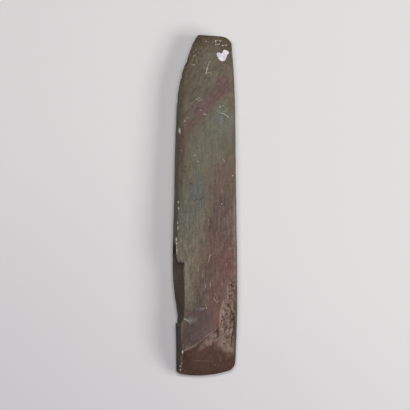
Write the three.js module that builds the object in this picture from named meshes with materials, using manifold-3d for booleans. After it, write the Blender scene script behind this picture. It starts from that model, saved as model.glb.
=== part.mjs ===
// A long jadeite axe head, lying on its broad underside.
//
// Frame: millimetres, +Z up, the ground at Z = 0, the origin under the middle of the stone's box.
// The butt is at +Y, the cutting edge at -Y, and the polished face looks up.
//
// The stone is skinned with rings that run round it. Every ring point has a place across the
// plan, and the height of the face or of the sole there. Towards the bit the rings fan out, so
// that one ring lies along the slanting ridge of the bevel and the last along the cutting edge.
// The flakes that the stone has lost are then cut away.

import * as THREE from "three";
import { mergeVertices } from "three/addons/utils/BufferGeometryUtils.js";
import Module from "manifold-3d";

// Driving dimensions of the whole stone

const LENGTH = 341;
const THICKNESS = 36;
const BUTT_Y = LENGTH / 2;
const EDGE_Y = -LENGTH / 2;

// The plan: how far out each side reaches where it is widest, as [y, x] from butt to bit

const LEFT_SIDE = [
  [BUTT_Y, -6],
  [165, -10.9],
  [157, -14],
  [145, -18.1],
  [135, -22.2],
  [125, -24.7],
  [105, -27.9],
  [85, -29],
  [45, -30.6],
  [0, -31.4],
  [-60, -32.5],
  [-100, -31],
  [-125, -29.2],
  [EDGE_Y, -28.6],
];
const RIGHT_SIDE = [
  [BUTT_Y, 27],
  [155, 27.1],
  [135, 28.7],
  [105, 30.1],
  [45, 30.9],
  [0, 31.5],
  [-80, 32.5],
  [-115, 32.2],
  [-140, 31.3],
  [EDGE_Y, 30],
];

// How far the face's arrises stand in from the sides, as [y, inset]

const LEFT_INSET = [
  [BUTT_Y, 0.8],
  [145, 0.9],
  [125, 1.6],
  [100, 3],
  [60, 4.2],
  [0, 4.5],
  [-50, 4.4],
  [-125, 5.7],
  [-145, 6.4],
  [-160, 4.8],
  [EDGE_Y, 3],
];
const RIGHT_INSET = [
  [BUTT_Y, 1.2],
  [100, 1.6],
  [0, 2.2],
  [-120, 2.2],
  [EDGE_Y, 1.6],
];

// Roundness of the left arris: rubbed soft at the butt, crisp from the middle down, as [y, radius]

const LEFT_SOFTNESS = [
  [BUTT_Y, 1.5],
  [120, 3],
  [60, 5],
  [20, 4],
  [-10, 1.2],
  [EDGE_Y, 0.8],
];
const RIGHT_SOFTNESS = 1.4;
const FOOT_SOFTNESS = 3;

// The face: nearly level, crowned towards its arrises, tapering to both ends

const CROWN_DROP = 2.8;
const CROWN_FLAT = 0.3;
const BUTT_TAPER = 0.07;
const BUTT_TAPER_START = 40;
const BUTT_TAPER_BLEND = 30;
const BIT_TAPER = 0.03;
const BIT_TAPER_START = 60;
const BIT_TAPER_BLEND = 40;

// The sole: a flat strip to lie on, turning up to its side edges, to the butt and to the bit

const FOOT_INSET_LEFT = 7;
const FOOT_INSET_RIGHT = 6;
const FOOT_RISE = 3.2;
const SOLE_FLAT = 0.5;
const SOLE_TAPER = 0.045;
const SOLE_TAPER_START = 95;
const SOLE_TAPER_BLEND = 15;
const BACK_BEVEL_RUN = 62;
const WAIST_HEIGHT = 15;
const WAIST_RUN = 45;
const SIDE_BULGE = 1.6;

// The cutting edge, gently bowed in plan, with one tight corner and one worn round

const EDGE_HEIGHT = 10.5;
const EDGE_BLUNT = 0.7;
const EDGE_BOW = 0.0052;
const EDGE_BOW_X = -8;
const EDGE_LEFT_RADIUS = 4;
const EDGE_RIGHT_RADIUS = 7;

// The bevel and its ridge, which slants up across the face

const RIDGE_X = -22.3;
const RIDGE_Y = -145.1;
const RIDGE_SLANT = 0.655;
const RIDGE_SAG = 2.2;
const RIDGE_SAG_RUN = 26;
const BEVEL_BELLY = 0.25;

// The butt end: sloping a little, its right corner rounded, its rim eased

const BUTT_SLOPE = 0.08;
const BUTT_SLOPE_X = -5;
const BUTT_CORNER_X = 14;
const BUTT_CORNER_RADIUS = 14;
const BUTT_RIM = 2.6;

// The rough patch of outer skin low on the right: its inner border as [y, x], and its fall

const ROUGH_BORDER = [
  [-68, 32],
  [-80, 21.7],
  [-92, 20.6],
  [-98, 17.6],
  [-110, 16],
  [-121, 14.2],
  [-135, 20],
  [-147, 27],
  [-153, 32],
];
const ROUGH_FALL = 0.2;

// The great flake lost from the left side, which ends in a hinge step across the face

const FLAKE_START_Y = -120;
const FLAKE_HINGE_Y = -58.5;
const FLAKE_HINGE_SLANT = 0.5;
const FLAKE_LOW_Z = 15;
const FLAKE_HIGH_Z = 34;
const FLAKE_LOW_X = -32.6;
const FLAKE_LOW_DEPTH = 5.2;
const FLAKE_LOW_RUN = 56;
const FLAKE_LOW_POWER = 1.4;
const FLAKE_HIGH_X = -20.8;
const FLAKE_HIGH_RETREAT = 2.6;
const FLAKE_HIGH_RUN = 20;
const FLAKE_HOLLOW = 1.6;
const FLAKE_OUTSIDE_X = -45;

// Small flakes lost from the edges: centre and radii of the ball that each was scooped by

const SMALL_FLAKES = [
  { at: [-17.6, 153.5, 31.5], radii: [6, 7.5, 6] },
  { at: [-23.4, 138, 32.5], radii: [5.5, 6, 6] },
  { at: [-33.6, -41, 21], radii: [3.4, 8, 6] },
  { at: [-30.5, -132, -2], radii: [7, 12, 7] },
  { at: [31.5, 52, -1], radii: [6, 15, 6] },
  { at: [34.6, -28, -0.5], radii: [8, 9, 6.5] },
  { at: [18, 175, 3], radii: [10, 6.5, 7] },
];

// The torn remnant of a paper label: its outline about its middle, as [x, y]

const LABEL_MIDDLE = [17.6, 148.6];
const LABEL_OUTLINE = [
  [-6.1, 2.8],
  [-5.4, -0.2],
  [-3.4, -4.2],
  [2.1, -5.2],
  [4.6, -1.2],
  [6.6, 2.8],
  [1.6, 5.8],
  [0.1, 2.3],
  [-2.4, 3.8],
];
const LABEL_THICKNESS = 0.35;
const LABEL_GAP = 0.3;

// How finely the rings are laid: the ring parameter runs from bit to butt in stretches

const RIDGE_RING = -134;
const FAN_END_RING = -66;
const BUTT_FAN_RING = 130;
const STRETCHES = [
  { from: EDGE_Y, to: RIDGE_RING, steps: 10 },
  { from: RIDGE_RING, to: FAN_END_RING, steps: 13 },
  { from: FAN_END_RING, to: BUTT_FAN_RING, steps: 24 },
  { from: BUTT_FAN_RING, to: BUTT_Y - 2 * BUTT_RIM, steps: 8 },
  { from: BUTT_Y - 2 * BUTT_RIM, to: BUTT_Y, steps: 4 },
];
const ACROSS = 16;
const UP_THE_SIDE = 3;

const clamp = THREE.MathUtils.clamp;
const lerp = THREE.MathUtils.lerp;
const smoothstep = THREE.MathUtils.smoothstep;

// A smooth course through stations [y, value] that are listed from the butt to the bit.
function course(stations) {
  const last = stations.length - 1;
  const slopes = stations.map((station, i) => {
    const [yBefore, before] = stations[Math.max(i - 1, 0)];
    const [yAfter, after] = stations[Math.min(i + 1, last)];
    return (after - before) / (yAfter - yBefore);
  });
  return (y) => {
    const held = clamp(y, stations[last][0], stations[0][0]);
    let i = 0;
    while (i < last - 1 && held < stations[i + 1][0]) {
      i += 1;
    }
    const [yStart, start] = stations[i];
    const [yEnd, end] = stations[i + 1];
    const run = yEnd - yStart;
    const t = (held - yStart) / run;
    const bend = t * (1 - t);
    const ease = t * t * (3 - 2 * t);
    return lerp(start, end, ease) + run * bend * (slopes[i] * (1 - t) - slopes[i + 1] * t);
  };
}

// Zero up to the start, then rising one for one, with the corner eased over the blend.
function ramp(value, start, blend) {
  const past = clamp(value - start + blend, 0, 2 * blend);
  return (past * past) / (4 * blend) + Math.max(value - start - blend, 0);
}

// How far a round corner of this radius has fallen away, this far past its start.
function cornerFall(past, radius) {
  const reach = clamp(past, 0, radius);
  return radius - Math.sqrt(radius * radius - reach * reach);
}

const leftSide = course(LEFT_SIDE);
const rightSide = course(RIGHT_SIDE);
const leftInset = course(LEFT_INSET);
const rightInset = course(RIGHT_INSET);
const leftSoftness = course(LEFT_SOFTNESS);
const roughBorder = course(ROUGH_BORDER);

// The plan of the cutting edge.
function edgeY(x) {
  const left = cornerFall(leftSide(EDGE_Y) + EDGE_LEFT_RADIUS - x, EDGE_LEFT_RADIUS);
  const right = cornerFall(x - rightSide(EDGE_Y) + EDGE_RIGHT_RADIUS, EDGE_RIGHT_RADIUS);
  return EDGE_Y + EDGE_BOW * (x - EDGE_BOW_X) ** 2 + left + right;
}

// The plan of the ridge between face and bevel.
function ridgeY(x) {
  const along = clamp((x - RIDGE_X) / RIDGE_SAG_RUN, 0, 1);
  return RIDGE_Y + RIDGE_SLANT * (x - RIDGE_X) - RIDGE_SAG * Math.sin(along * Math.PI);
}

// The plan of the butt end.
function buttY(x) {
  const corner = cornerFall(x - BUTT_CORNER_X, BUTT_CORNER_RADIUS);
  return BUTT_Y - BUTT_SLOPE * Math.max(x - BUTT_SLOPE_X, 0) - corner;
}

// Where a place lies between the middle of the stone and one of two limits: 0 to 1.
function outward(x, left, right) {
  const middle = (left + right) / 2;
  return clamp(Math.abs(x - middle) / ((right - left) / 2), 0, 1);
}

// The polished face, before the bevel and the rough patch.
function faceHeight(x, y) {
  const out = outward(x, leftSide(y) + leftInset(y), rightSide(y) - rightInset(y));
  const crown = (Math.max(out - CROWN_FLAT, 0) / (1 - CROWN_FLAT)) ** 2;
  const toButt = BUTT_TAPER * ramp(y, BUTT_TAPER_START, BUTT_TAPER_BLEND);
  const toBit = BIT_TAPER * ramp(-y, BIT_TAPER_START, BIT_TAPER_BLEND);
  const rim = cornerFall(y - buttY(x) + BUTT_RIM, BUTT_RIM);
  return THICKNESS - CROWN_DROP * crown - toButt - toBit - rim;
}

// The upper surface: the face, the bevel below its ridge, and the fall of the rough patch.
function topHeight(x, y) {
  const edge = edgeY(x);
  const ridge = ridgeY(x);
  const up = clamp((y - edge) / (ridge - edge), 0, 1);
  const climb = up + BEVEL_BELLY * up * (1 - up);
  const smooth = lerp(EDGE_HEIGHT + EDGE_BLUNT, faceHeight(x, Math.max(y, ridge)), climb);
  return smooth - ROUGH_FALL * Math.max(x - roughBorder(y), 0) * Math.min(4 * up, 1);
}

// The sole, with the back bevel that lifts it to the cutting edge.
function soleHeight(x, y) {
  const back = clamp(1 - (y - edgeY(x)) / BACK_BEVEL_RUN, 0, 1);
  const toBit = (EDGE_HEIGHT - EDGE_BLUNT) * back * back;
  const toButt = SOLE_TAPER * ramp(y, SOLE_TAPER_START, SOLE_TAPER_BLEND);
  const out = outward(x, leftSide(y) + FOOT_INSET_LEFT, rightSide(y) - FOOT_INSET_RIGHT);
  const turn = (Math.max(out - SOLE_FLAT, 0) / (1 - SOLE_FLAT)) ** 2;
  return toBit + toButt + FOOT_RISE * turn * (1 - back);
}

// The height at which the sides are widest, which falls to the cutting edge.
function waistHeight(x, y) {
  return lerp(EDGE_HEIGHT, WAIST_HEIGHT, smoothstep(y - edgeY(x), 0, WAIST_RUN));
}

// Three points that round a corner off between its neighbours.
function rounded(before, corner, after, radius) {
  const start = corner.clone().lerp(before, Math.min(radius / corner.distanceTo(before), 0.45));
  const end = corner.clone().lerp(after, Math.min(radius / corner.distanceTo(after), 0.45));
  const middle = start.clone().add(end).multiplyScalar(0.25).addScaledVector(corner, 0.5);
  return [start, middle, end];
}

// Points up or down a side, which bulges: it leaves the waist upright and leans in from there.
function sidePoints(waist, end) {
  const points = [];
  for (let i = 1; i <= UP_THE_SIDE; i += 1) {
    const share = i / (UP_THE_SIDE + 1);
    points.push(
      new THREE.Vector2(lerp(waist.x, end.x, share ** SIDE_BULGE), lerp(waist.y, end.y, share)),
    );
  }
  return points;
}

// The points of one cross-section, as (x, z): left waist, face, right waist, sole.
function section(y) {
  const left = leftSide(y);
  const right = rightSide(y);
  const corner = (x, height) => new THREE.Vector2(x, height(x, y));
  const leftWaist = corner(left, waistHeight);
  const leftArris = corner(left + leftInset(y), topHeight);
  const rightArris = corner(right - rightInset(y), topHeight);
  const rightWaist = corner(right, waistHeight);
  const rightFoot = corner(right - FOOT_INSET_RIGHT, soleHeight);
  const leftFoot = corner(left + FOOT_INSET_LEFT, soleHeight);
  const between = (start, end, height) => {
    const points = [];
    for (let i = 1; i < ACROSS; i += 1) {
      points.push(corner(lerp(start.x, end.x, i / ACROSS), height));
    }
    return points;
  };
  const leftRound = rounded(leftWaist, leftArris, rightArris, leftSoftness(y));
  const rightRound = rounded(leftArris, rightArris, rightWaist, RIGHT_SOFTNESS);
  const rightFootRound = rounded(rightWaist, rightFoot, leftFoot, FOOT_SOFTNESS);
  const leftFootRound = rounded(rightFoot, leftFoot, leftWaist, FOOT_SOFTNESS);
  return [
    leftWaist,
    ...sidePoints(leftWaist, leftRound[0]),
    ...leftRound,
    ...between(leftRound[2], rightRound[0], topHeight),
    ...rightRound,
    ...sidePoints(rightWaist, rightRound[2]).reverse(),
    rightWaist,
    ...sidePoints(rightWaist, rightFootRound[0]),
    ...rightFootRound,
    ...between(rightFootRound[2], leftFootRound[0], soleHeight),
    ...leftFootRound,
    ...sidePoints(leftWaist, leftFootRound[2]).reverse(),
  ];
}

// Where a ring runs at this place across: along the edge, the ridge or the butt's plan at its own
// end of the stone, and square across the middle.
function ringY(ring, x) {
  if (ring < RIDGE_RING) {
    return lerp(edgeY(x), ridgeY(x), (ring - EDGE_Y) / (RIDGE_RING - EDGE_Y));
  }
  if (ring < FAN_END_RING) {
    const share = (ring - RIDGE_RING) / (FAN_END_RING - RIDGE_RING);
    return lerp(ridgeY(x), FAN_END_RING, share);
  }
  if (ring < BUTT_FAN_RING) {
    return ring;
  }
  return lerp(BUTT_FAN_RING, buttY(x), (ring - BUTT_FAN_RING) / (BUTT_Y - BUTT_FAN_RING));
}

function ringPoints(ring) {
  return section(ring).map((rough, i) => {
    const y = ringY(ring, rough.x);
    const point = section(y)[i];
    return new THREE.Vector3(point.x, y, point.y);
  });
}

// A closed skin over rings of equal length. Each end is closed by a ladder between the points
// that face each other across the ring, counted both ways from the point named first.
function skin(rings, first) {
  const count = rings[0].length;
  const positions = rings.flat().flatMap((point) => point.toArray());
  const triangles = [];
  const quad = (a, b, c, d) => triangles.push(a, b, c, a, c, d);
  for (let ring = 0; ring + 1 < rings.length; ring += 1) {
    for (let i = 0; i < count; i += 1) {
      const next = (i + 1) % count;
      const low = ring * count;
      const high = low + count;
      quad(low + i, low + next, high + next, high + i);
    }
  }
  const ladder = (base, flip) => {
    const over = (k) => base + ((first + k) % count);
    const under = (k) => base + ((first - k + count) % count);
    for (let k = 0; k < count / 2; k += 1) {
      const rung = [under(k), under(k + 1), over(k + 1), over(k)];
      const [a, b, c, d] = flip ? rung.reverse() : rung;
      if (a !== d) {
        triangles.push(a, c, d);
      }
      if (b !== c) {
        triangles.push(a, b, c);
      }
    }
  };
  ladder(0, false);
  ladder((rings.length - 1) * count, true);
  const geometry = new THREE.BufferGeometry();
  geometry.setAttribute("position", new THREE.Float32BufferAttribute(positions, 3));
  geometry.setIndex(triangles);
  return geometry;
}

function bodyGeometry() {
  const rings = [ringPoints(EDGE_Y)];
  for (const { from, to, steps } of STRETCHES) {
    for (let i = 1; i <= steps; i += 1) {
      rings.push(ringPoints(lerp(from, to, i / steps)));
    }
  }
  return skin(rings, 0);
}

// The great flake's scar: how far in it reaches at this height and place along the stone.
function scarX(y, z) {
  const away = Math.max((FLAKE_HINGE_Y - y) / FLAKE_LOW_RUN, 0);
  const low = FLAKE_LOW_X + FLAKE_LOW_DEPTH * away ** FLAKE_LOW_POWER;
  const retreat = smoothstep(FLAKE_START_Y + FLAKE_HIGH_RUN - y, 0, FLAKE_HIGH_RUN);
  const high = FLAKE_HIGH_X - FLAKE_HIGH_RETREAT * retreat;
  const up = (z - FLAKE_LOW_Z) / (FLAKE_HIGH_Z - FLAKE_LOW_Z);
  const hollow = FLAKE_HOLLOW * Math.sin(clamp(up, 0, 1) * Math.PI);
  return lerp(low, high, clamp(up, -0.1, 1.6)) + hollow;
}

// The solid that the great flake took away: an outer wall, and the scar as its inner wall.
function greatFlake() {
  const heights = [4, 9, 14, 19, 24, 29, 34, 40, 46];
  const steps = 14;
  const rings = [];
  for (let i = 0; i <= steps; i += 1) {
    const share = i / steps;
    const points = heights.map((z) => {
      const inner = scarX(lerp(FLAKE_START_Y, FLAKE_HINGE_Y, share), z);
      const hinge = FLAKE_HINGE_Y - FLAKE_HINGE_SLANT * (inner - FLAKE_HIGH_X);
      const y = lerp(FLAKE_START_Y, hinge, share);
      return new THREE.Vector3(scarX(y, z), y, z);
    });
    const outerHinge = FLAKE_HINGE_Y - FLAKE_HINGE_SLANT * (FLAKE_OUTSIDE_X - FLAKE_HIGH_X);
    const outerY = lerp(FLAKE_START_Y, outerHinge, share);
    const outer = heights.map((z) => new THREE.Vector3(FLAKE_OUTSIDE_X, outerY, z));
    rings.push([...outer, ...points.reverse()]);
  }
  return skin(rings, 0);
}

function smallFlake({ at, radii }) {
  const ball = new THREE.SphereGeometry(1, 18, 12);
  ball.scale(...radii);
  ball.translate(...at);
  return ball;
}

const manifold = await Module();
manifold.setup();

function solid(geometry) {
  const bare = geometry.clone();
  bare.deleteAttribute("normal");
  bare.deleteAttribute("uv");
  const merged = mergeVertices(bare);
  return new manifold.Manifold(
    new manifold.Mesh({
      numProp: 3,
      vertProperties: new Float32Array(merged.attributes.position.array),
      triVerts: new Uint32Array(merged.index.array),
    }),
  );
}

function axeHead() {
  let stone = solid(bodyGeometry()).subtract(solid(greatFlake()));
  for (const flake of SMALL_FLAKES) {
    stone = stone.subtract(solid(smallFlake(flake)));
  }
  const { vertProperties, triVerts } = stone.getMesh();
  const geometry = new THREE.BufferGeometry();
  geometry.setAttribute("position", new THREE.Float32BufferAttribute(vertProperties, 3));
  geometry.setIndex(Array.from(triVerts));
  const material = new THREE.MeshStandardMaterial({ color: 0x6a5b50, roughness: 0.45 });
  const mesh = new THREE.Mesh(geometry, material);
  mesh.name = "axe_head";
  return mesh;
}

// The label lies on the crowned face, so its sheet is built in two hoops about its middle.
function labelRemnant() {
  const hoops = [0.5, 1];
  const positions = [];
  for (const lift of [LABEL_GAP, LABEL_GAP + LABEL_THICKNESS]) {
    const place = (dx, dy) => {
      const x = LABEL_MIDDLE[0] + dx;
      const y = LABEL_MIDDLE[1] + dy;
      positions.push(x, y, faceHeight(x, y) + lift);
    };
    place(0, 0);
    for (const share of hoops) {
      LABEL_OUTLINE.forEach(([dx, dy]) => place(dx * share, dy * share));
    }
  }
  const sides = LABEL_OUTLINE.length;
  const layer = 1 + hoops.length * sides;
  const triangles = [];
  for (let i = 0; i < sides; i += 1) {
    const next = (i + 1) % sides;
    const [inner, innerNext] = [1 + i, 1 + next];
    const [outer, outerNext] = [1 + sides + i, 1 + sides + next];
    triangles.push(0, innerNext, inner);
    triangles.push(inner, innerNext, outerNext, inner, outerNext, outer);
    triangles.push(layer, layer + inner, layer + innerNext);
    triangles.push(layer + inner, layer + outer, layer + outerNext);
    triangles.push(layer + inner, layer + outerNext, layer + innerNext);
    triangles.push(outer, outerNext, layer + outerNext, outer, layer + outerNext, layer + outer);
  }
  const geometry = new THREE.BufferGeometry();
  geometry.setAttribute("position", new THREE.Float32BufferAttribute(positions, 3));
  geometry.setIndex(triangles);
  const material = new THREE.MeshStandardMaterial({ color: 0xe1dae4, roughness: 0.8 });
  const mesh = new THREE.Mesh(geometry, material);
  mesh.name = "label_remnant";
  return mesh;
}

const group = new THREE.Group();
group.add(axeHead());
group.add(labelRemnant());

export default group;
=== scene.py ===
"""Looks of the jadeite axe head: the stone with its scars and finish, the label scrap and the ink.

The stone is made again here by the same rules as its CAD solid, but finely, in numpy: a skin of
rings, the losses carved out of it, and relief on what is left. Lengths are millimetres in the
frame's axes (+Y to the butt, +Z up) until a mesh is made, and the frame's box sets their scale.
"""

import functools
import itertools
import math

import bpy
import numpy as np
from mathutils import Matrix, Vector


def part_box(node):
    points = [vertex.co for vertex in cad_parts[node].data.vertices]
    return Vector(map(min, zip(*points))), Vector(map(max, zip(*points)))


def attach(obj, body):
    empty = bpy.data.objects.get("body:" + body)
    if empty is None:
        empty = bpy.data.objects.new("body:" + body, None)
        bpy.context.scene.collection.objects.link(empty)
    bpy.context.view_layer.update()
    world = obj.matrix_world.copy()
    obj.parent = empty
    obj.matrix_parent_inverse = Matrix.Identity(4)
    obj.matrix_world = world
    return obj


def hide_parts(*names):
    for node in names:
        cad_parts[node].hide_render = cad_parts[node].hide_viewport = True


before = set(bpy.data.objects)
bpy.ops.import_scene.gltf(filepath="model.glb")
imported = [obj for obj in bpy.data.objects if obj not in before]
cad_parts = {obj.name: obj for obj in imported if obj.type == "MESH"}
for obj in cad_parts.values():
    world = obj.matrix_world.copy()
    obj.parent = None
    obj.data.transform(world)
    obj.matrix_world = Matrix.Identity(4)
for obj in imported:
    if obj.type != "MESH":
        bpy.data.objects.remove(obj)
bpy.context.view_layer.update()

# ---- Small tools ----


def course(stations):
    """A smooth course through stations (y, value)."""
    ys, values = np.array(sorted(stations), float).T
    slopes = np.empty(len(ys))
    slopes[1:-1] = (values[2:] - values[:-2]) / (ys[2:] - ys[:-2])
    slopes[0] = (values[1] - values[0]) / (ys[1] - ys[0])
    slopes[-1] = (values[-1] - values[-2]) / (ys[-1] - ys[-2])

    def at(y):
        y = np.clip(y, ys[0], ys[-1])
        i = np.clip(np.searchsorted(ys, y, side="right") - 1, 0, len(ys) - 2)
        run = ys[i + 1] - ys[i]
        t = (y - ys[i]) / run
        ease = t * t * (3 - 2 * t)
        bend = t * (1 - t) * run
        return (
            values[i]
            + (values[i + 1] - values[i]) * ease
            + bend * (slopes[i] * (1 - t) - slopes[i + 1] * t)
        )

    return at


def ramp(value, start, blend):
    """Zero up to the start, then rising one for one, with the corner eased over the blend."""
    past = np.clip(value - start + blend, 0, 2 * blend)
    return past * past / (4 * blend) + np.maximum(value - start - blend, 0)


def corner_fall(past, radius):
    """How far a round corner of this radius has fallen away, this far past its start."""
    return radius - np.sqrt(radius * radius - np.clip(past, 0, radius) ** 2)


def smooth(value, low, high):
    """0 at low, 1 at high, eased; low may be the larger."""
    t = np.clip((value - low) / (high - low), 0, 1)
    return t * t * (3 - 2 * t)


def mix(a, b, share):
    return a + (b - a) * share


rng = np.random.default_rng(11)
LATTICE = 256
SHUFFLE = rng.permutation(LATTICE)
SLOPES = rng.normal(size=(LATTICE, 3))
SLOPES /= np.linalg.norm(SLOPES, axis=1, keepdims=True)


def grain(points, size, seed):
    """Smooth random relief from about -1 to 1, whose bumps are about this many mm across."""
    cell = points / np.asarray(size, float) + 37.7 * seed
    base = np.floor(cell).astype(int)
    inside = cell - base
    ease = inside**3 * (inside * (inside * 6 - 15) + 10)
    total = np.zeros(points.shape[:-1])
    for corner in itertools.product((0, 1), repeat=3):
        place = base + corner
        index = SHUFFLE[place[..., 0] % LATTICE]
        index = SHUFFLE[(index + place[..., 1]) % LATTICE]
        index = SHUFFLE[(index + place[..., 2]) % LATTICE]
        weight = np.prod(np.where(corner, ease, 1 - ease), -1)
        total += weight * np.sum(SLOPES[index] * (inside - corner), -1)
    return 1.6 * total


def layered(points, size, seed, layers=4, fade=0.5):
    """Grain at several sizes, each half the last one's."""
    size = np.asarray(size, float)
    parts = [fade**k * grain(points, size / 2**k, seed + k) for k in range(layers)]
    return sum(parts) / sum(fade**k for k in range(layers))


# ---- Sizes, in millimetres, by the same rules as the CAD solid's ----

LENGTH = 341
THICKNESS = 36
BUTT_Y = LENGTH / 2 - 0.5
EDGE_Y = -LENGTH / 2
stone_low, stone_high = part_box("axe_head")
MM = (stone_high.y - stone_low.y) / LENGTH

left_side = course([
    (BUTT_Y, -6.9), (165.5, -9.8), (161.4, -12.2), (155.4, -14.4), (149.4, -16.6), (143.4, -18.7),
    (137.4, -21.2), (131.4, -23.1), (125.4, -24.5), (113.4, -26.8), (101.4, -28), (85, -28.8),
    (45, -30.3), (0, -31), (-25, -31.8), (-60, -32.3), (-100, -30.8), (-125, -29.15),
    (EDGE_Y, -28.8),
])
right_side = course([
    (BUTT_Y, 26.9), (155, 27), (135, 28.5), (105, 29.9), (45, 30.7), (0, 31.3),
    (-80, 32.3), (-115, 32), (-140, 31.1), (EDGE_Y, 30.3),
])
left_inset = course([
    (BUTT_Y, 0.6), (145, 0.8), (125, 1.4), (100, 2.7), (60, 3.9), (0, 4.1), (-50, 4.1),
    (-125, 5.4), (-145, 6.2), (-160, 4.7), (EDGE_Y, 3),
])
right_inset = course([(BUTT_Y, 1.2), (100, 1.6), (0, 2.2), (-120, 2.2), (EDGE_Y, 1.6)])
left_softness = course([
    (BUTT_Y, 1.5), (120, 3), (60, 5), (20, 4), (-10, 1.2), (EDGE_Y, 0.8),
])
RIGHT_SOFTNESS = 1.4
FOOT_SOFTNESS = 3

CROWN_DROP, CROWN_FLAT = 2.8, 0.3
BUTT_TAPER, BUTT_TAPER_START, BUTT_TAPER_BLEND = 0.07, 40, 30
BIT_TAPER, BIT_TAPER_START, BIT_TAPER_BLEND = 0.03, 60, 40

FOOT_INSET_LEFT, FOOT_INSET_RIGHT, FOOT_RISE, SOLE_FLAT = 7, 6, 3.2, 0.5
SOLE_TAPER, SOLE_TAPER_START, SOLE_TAPER_BLEND = 0.045, 95, 15
BACK_BEVEL_RUN = 62
WAIST_HEIGHT, WAIST_RUN, SIDE_BULGE = 15, 45, 1.6

EDGE_HEIGHT, EDGE_BLUNT = 10.5, 0.7
EDGE_BOW, EDGE_BOW_X = 0.0052, -6.5
EDGE_LEFT_RADIUS, EDGE_RIGHT_RADIUS = 3.5, 6.7

RIDGE_X, RIDGE_Y, RIDGE_SLANT = -22.3, -145.1, 0.655
RIDGE_SAG, RIDGE_SAG_RUN = 2.2, 26
BEVEL_BELLY = 0.25

BUTT_SLOPE, BUTT_SLOPE_X = 0.08, -5
BUTT_CORNER_X, BUTT_CORNER_RADIUS, BUTT_RIM = 16.6, 11.4, 2.2

rough_border = course([
    (-68, 32), (-80, 21.7), (-92, 20.6), (-98, 17.6), (-110, 16), (-121, 14.2), (-135, 20),
    (-147, 27), (-153, 32),
])
ROUGH_FALL = 0.2

FLAKE_START_Y, FLAKE_HINGE_Y = -117.8, -58.5
FLAKE_LOW_Z, FLAKE_HIGH_Z = 15, 34
FLAKE_LOW_X, FLAKE_LOW_DEPTH, FLAKE_LOW_RUN, FLAKE_LOW_POWER = -32.5, 5.8, 56, 1.6
FLAKE_HIGH_X, FLAKE_HIGH_RETREAT, FLAKE_HIGH_RUN = -20.3, 2.8, 10
FLAKE_HIGH_LEAN = 1
FLAKE_HOLLOW, FLAKE_RAGGED = 1.6, 0.35
FLAKE_FEATHER, FLAKE_FEATHER_RUN = 1.5, 9

# The hinge step that ends the great flake: its plan, as (x, y)
hinge_line = course([
    (-34, -46), (-31.5, -47.5), (-29.2, -50.9), (-28.3, -53), (-27.6, -54.8), (-26.8, -57),
    (-26, -57.4), (-25.2, -55.5), (-24.4, -55.7), (-23.6, -57.6), (-22.9, -58.2), (-22.2, -56.6),
    (-21.6, -55.9), (-20.8, -56.6), (-17, -57),
])

# Small flakes lost from the edges: the middle and radii of the ball that each was scooped by
SMALL_FLAKES = [
    ((-17.6, 153.5, 31.5), (6, 7.5, 6)),
    ((-23.4, 138, 32.5), (5.5, 6, 6)),
    ((-33.6, -41, 21), (3.4, 8, 6)),
    ((-30.5, -132, -2), (7, 12, 7)),
    ((31.5, 52, -1), (6, 15, 6)),
    ((34.6, -28, -0.5), (8, 9, 6.5)),
    ((18, 175, 3), (10, 6.5, 7)),
]

# The fresh nicks along the left arris, as paths (x, y) and half widths
NICKS = [
    ([(-28.6, -33), (-28.6, -37), (-28.2, -39), (-28.6, -42), (-28.2, -45), (-28.3, -48.5)], 0.95),
    ([(-26.7, 3.6), (-26.6, 2)], 0.75),
    ([(-26.5, -2.6), (-26.5, -4.8)], 0.75),
    ([(-27.3, -16), (-27.2, -17.8)], 0.75),
    ([(-26.8, -21.2), (-26.8, -23.4)], 0.65),
    ([(-26.3, 76), (-25.2, 74.4), (-25.6, 71.6)], 1.25),
    ([(-22.4, 130.2), (-22.2, 128.8)], 0.8),
    ([(-26.4, 108.4), (-26.5, 107)], 0.7),
    ([(-27, 99.6), (-27, 98.2)], 0.7),
]

# The thin pale edge where the face breaks off into the rough patch, painted as a highlight, as (x,
# y)
BROKEN_EDGE = [(18.6, -95), (17.1, -98.7), (15.9, -106), (15.4, -112), (15, -121.4)]

# The deep chip beside the longest nick: the middle and radii of its ball
DEEP_CHIP = ((-33, -44, 25), (4.9, 8.5, 8))

# The ring parameter's turning places, from bit to butt
RIDGE_RING, FAN_END_RING, HINGE_RING, HINGE_END_RING, BUTT_FAN_RING = -134, -84, -57, -36, 130

# ---- The stone's form before its losses ----


def edge_y(x):
    """The plan of the cutting edge."""
    left = corner_fall(left_side(EDGE_Y) + EDGE_LEFT_RADIUS - x, EDGE_LEFT_RADIUS)
    right = corner_fall(x - right_side(EDGE_Y) + EDGE_RIGHT_RADIUS, EDGE_RIGHT_RADIUS)
    return EDGE_Y + EDGE_BOW * (x - EDGE_BOW_X) ** 2 + left + right


def ridge_y(x):
    """The plan of the ridge between face and bevel."""
    along = np.clip((x - RIDGE_X) / RIDGE_SAG_RUN, 0, 1)
    return RIDGE_Y + RIDGE_SLANT * (x - RIDGE_X) - RIDGE_SAG * np.sin(along * np.pi)


def butt_y(x):
    """The plan of the butt end."""
    slope = BUTT_SLOPE * np.maximum(x - BUTT_SLOPE_X, 0)
    return BUTT_Y - slope - corner_fall(x - BUTT_CORNER_X, BUTT_CORNER_RADIUS)


def outward(x, left, right):
    """Where a place lies between the middle and one of two limits: 0 to 1."""
    return np.clip(np.abs(x - (left + right) / 2) / ((right - left) / 2), 0, 1)


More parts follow.
